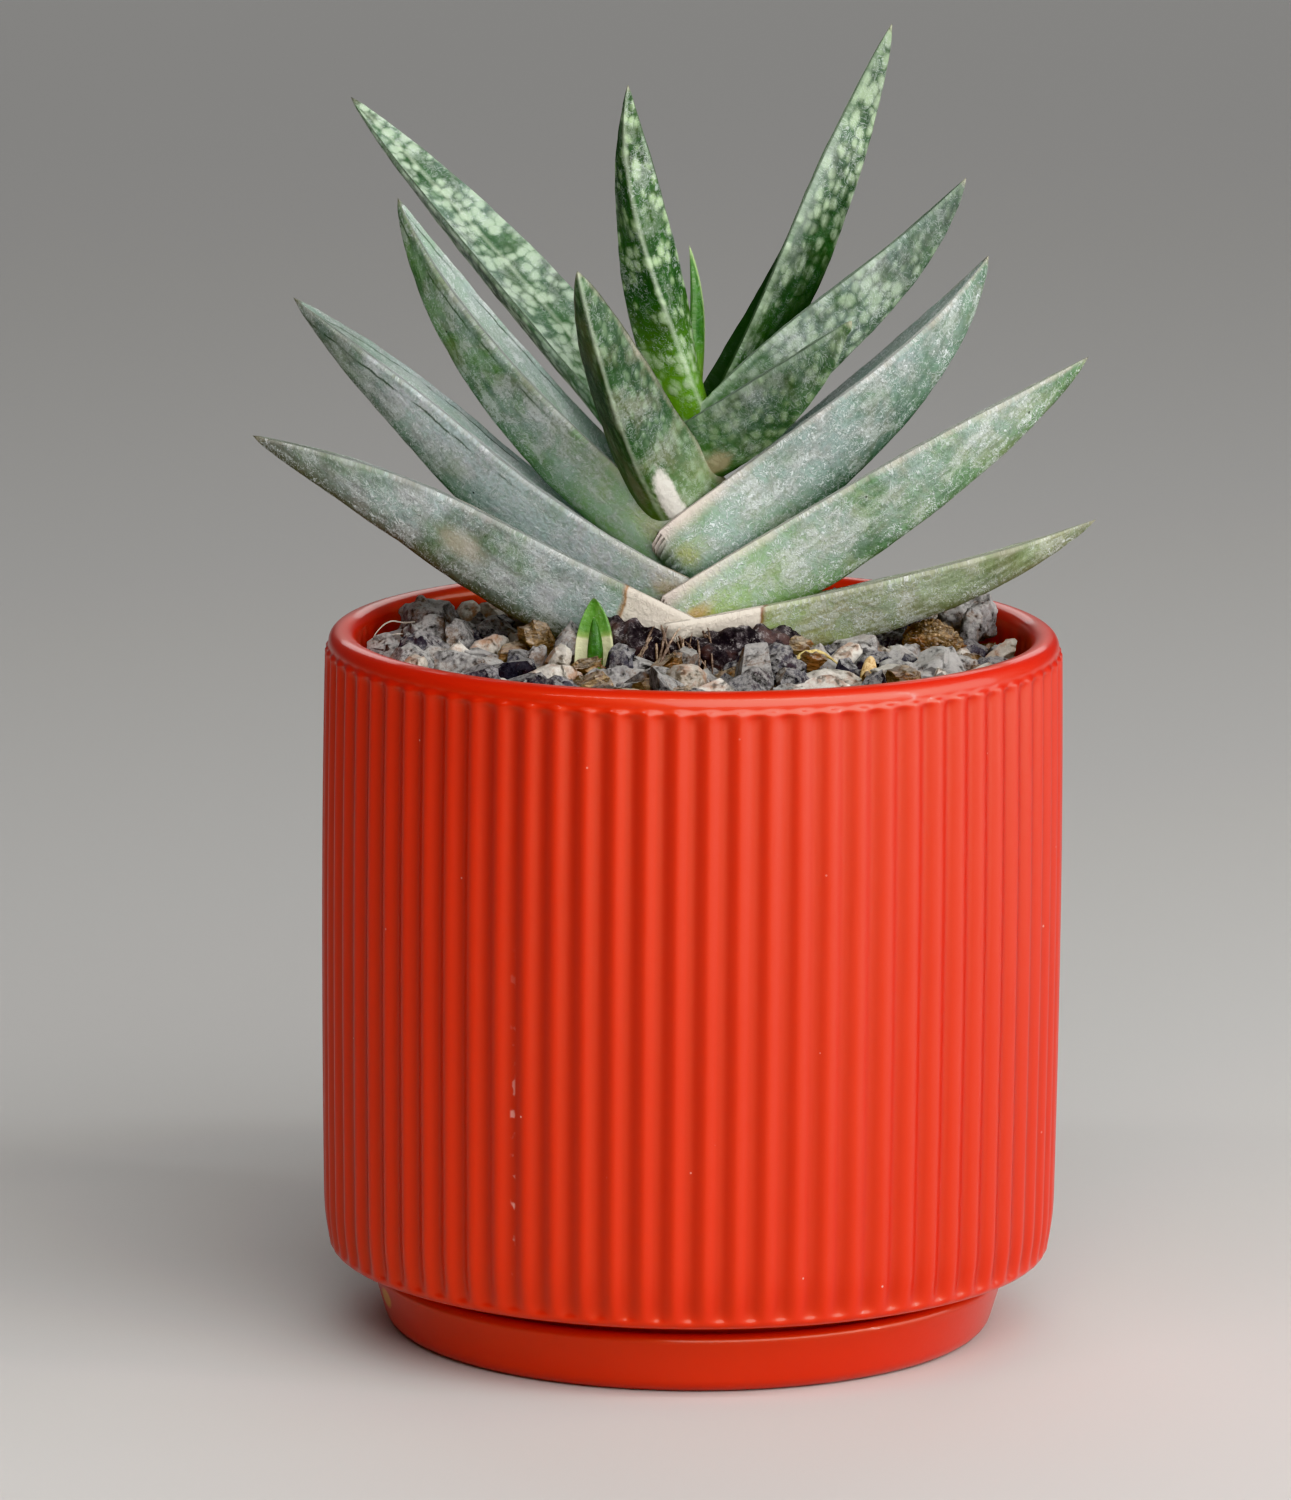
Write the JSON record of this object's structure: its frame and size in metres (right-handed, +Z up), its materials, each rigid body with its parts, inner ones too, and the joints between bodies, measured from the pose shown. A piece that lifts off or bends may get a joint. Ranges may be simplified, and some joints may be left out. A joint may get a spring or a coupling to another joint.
{
  "type": "potted gasteria",
  "caption": "Gasteria with a fan of keeled, spotted and frosted leaves, growing in gravelly mix in a ribbed red glazed pot on a shallow saucer.",
  "frame": {"origin": "centre of the saucer's flat underside, on the pot's axis", "axes": "+Z up along the pot's axis, the fan of leaves spreads along X and its face looks towards -Y"},
  "size_m": [0.1362, 0.1208, 0.2137],
  "materials": {
    "red_glaze": "glossy red-orange glaze, slightly thin on the rib crests",
    "gritty_mix": "dark loose grit between larger stones",
    "stem_tissue": "pale fibrous stem, hidden by the leaf bases",
    "frosted_leaf": "grey-green skin with a silvery frosted bloom",
    "spotted_leaf": "dark green skin with pale spots in cross bands",
    "bright_leaf": "fresh yellow-green young tissue",
    "dried_leaf_base": "dead papery leaf base, brown to grey",
    "grey_pumice": "rough porous grey pumice",
    "dark_lava": "dark porous lava rock",
    "tan_bark": "layered tan bark chip",
    "pale_grain": "cream mineral grain"
  },
  "bodies": {
    "root": {"saucer": "red_glaze", "pot": "red_glaze", "potting_mix": "gritty_mix", "stem": "stem_tissue", "leaf_right_lowest": "frosted_leaf", "leaf_left_lowest": "frosted_leaf", "leaf_right_low": "frosted_leaf", "leaf_left_low": "frosted_leaf", "leaf_right_middle": "frosted_leaf", "leaf_left_middle": "frosted_leaf", "leaf_front_left": "frosted_leaf", "leaf_front_right": "spotted_leaf", "leaf_back_left": "spotted_leaf", "leaf_right_upper": "spotted_leaf", "leaf_right_top": "spotted_leaf", "leaf_centre": "spotted_leaf", "leaf_heart": "bright_leaf", "pup_outer_leaf": "bright_leaf", "pup_inner_leaf": "bright_leaf", "dried_base_left": "dried_leaf_base", "dried_base_right": "dried_leaf_base", "dried_base_back": "dried_leaf_base", "stone_pumice_rim": "grey_pumice", "stone_slab_right": "grey_pumice", "stone_layered_tan": "tan_bark", "stone_dark_right": "dark_lava", "stone_right_back": "dark_lava", "stone_right_edge": "grey_pumice", "stone_front_husk_side": "grey_pumice", "stone_front_right": "pale_grain", "stone_front_blue": "dark_lava", "stone_front_centre": "grey_pumice", "stone_front_left": "grey_pumice", "stone_front_left_pale": "pale_grain", "stone_flat_grey": "grey_pumice", "stone_purple_grey": "dark_lava", "stone_left_pale": "pale_grain", "stone_left_rough": "grey_pumice", "stone_left_rough_back": "grey_pumice", "stone_left_grey": "grey_pumice", "stone_ochre_bark": "tan_bark", "stone_back_left": "dark_lava", "stone_back_centre": "grey_pumice", "stone_back_right": "pale_grain"}
  },
  "joints": []
}
